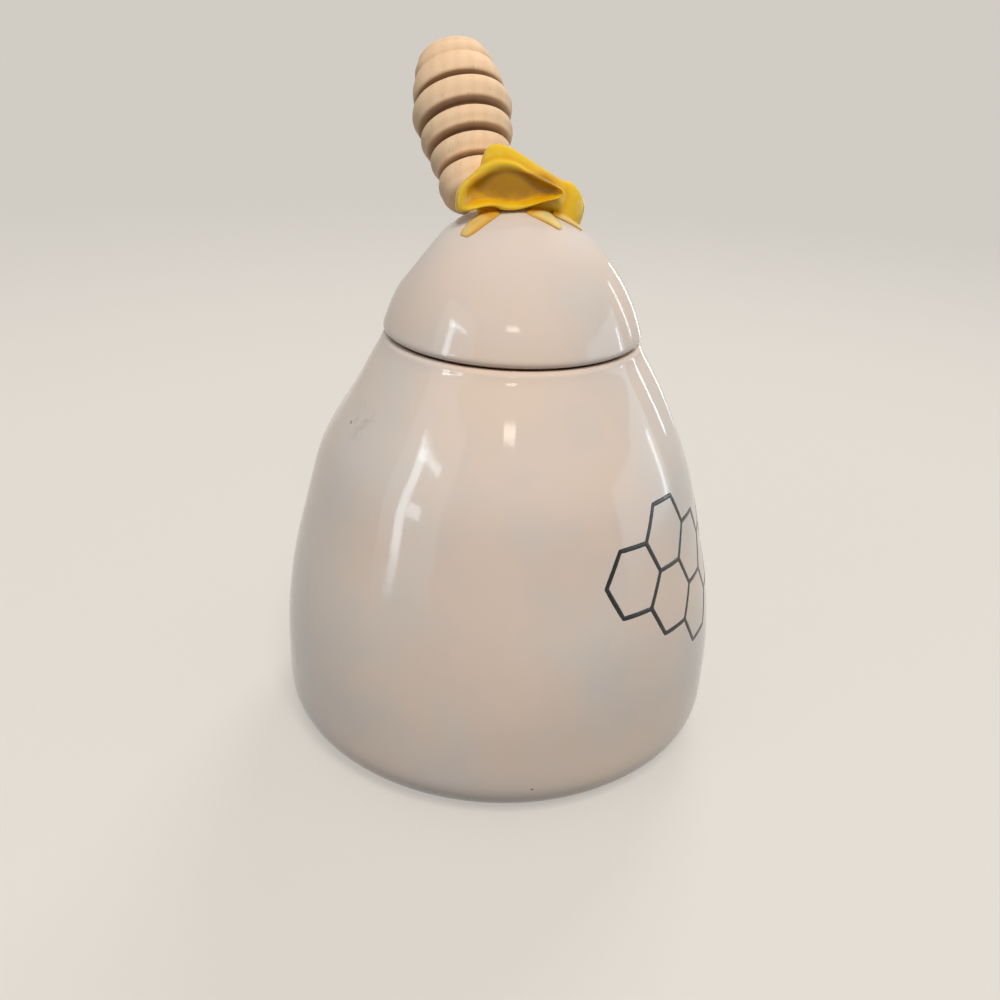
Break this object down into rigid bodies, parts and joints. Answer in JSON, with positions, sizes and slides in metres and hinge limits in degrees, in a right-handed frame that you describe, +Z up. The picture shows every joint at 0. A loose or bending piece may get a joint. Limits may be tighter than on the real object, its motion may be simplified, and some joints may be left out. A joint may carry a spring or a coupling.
{
  "type": "honey pot",
  "caption": "Hand-formed glazed honey pot with a lift-off domed lid, a bee figure on the lid and a ringed wooden dipper leaning through a hole in it.",
  "frame": {"origin": "middle of the pot's flat foot, on the surface that it stands on", "axes": "+Z up along the pot's axis; the front of the pot, its slightly flattened side with the motif, faces -Y"},
  "size_m": [0.1227, 0.1228, 0.1812],
  "materials": {
    "white_glaze": "glossy white glaze, softly uneven, with a few small pits",
    "yellow_glaze": "glossy yellow glaze, pooled darker amber in the hollows",
    "beech": "bare turned beech, fine grain, unvarnished"
  },
  "bodies": {
    "pot": {"pot_body": "white_glaze"},
    "lid": {"lid": "white_glaze", "bee_body": "yellow_glaze", "bee_head": "yellow_glaze", "bee_wing_right": "yellow_glaze", "bee_wing_left": "yellow_glaze", "leg_right_rear": "yellow_glaze", "leg_right_middle": "yellow_glaze", "leg_right_front": "yellow_glaze", "leg_left_rear": "yellow_glaze", "leg_left_middle": "yellow_glaze", "leg_left_front": "yellow_glaze"},
    "dipper": {"dipper_head": "beech", "dipper_handle": "beech"}
  },
  "joints": [
    {"name": "lid_lift", "type": "slide", "parent": "pot", "child": "lid", "axis": [0.6519, 0.0456, 0.757], "range_m": [0, 0.075]},
    {"name": "dipper_pull", "type": "slide", "parent": "lid", "child": "dipper", "axis": [0.6519, 0.0456, 0.757], "range_m": [0, 0.1]}
  ]
}
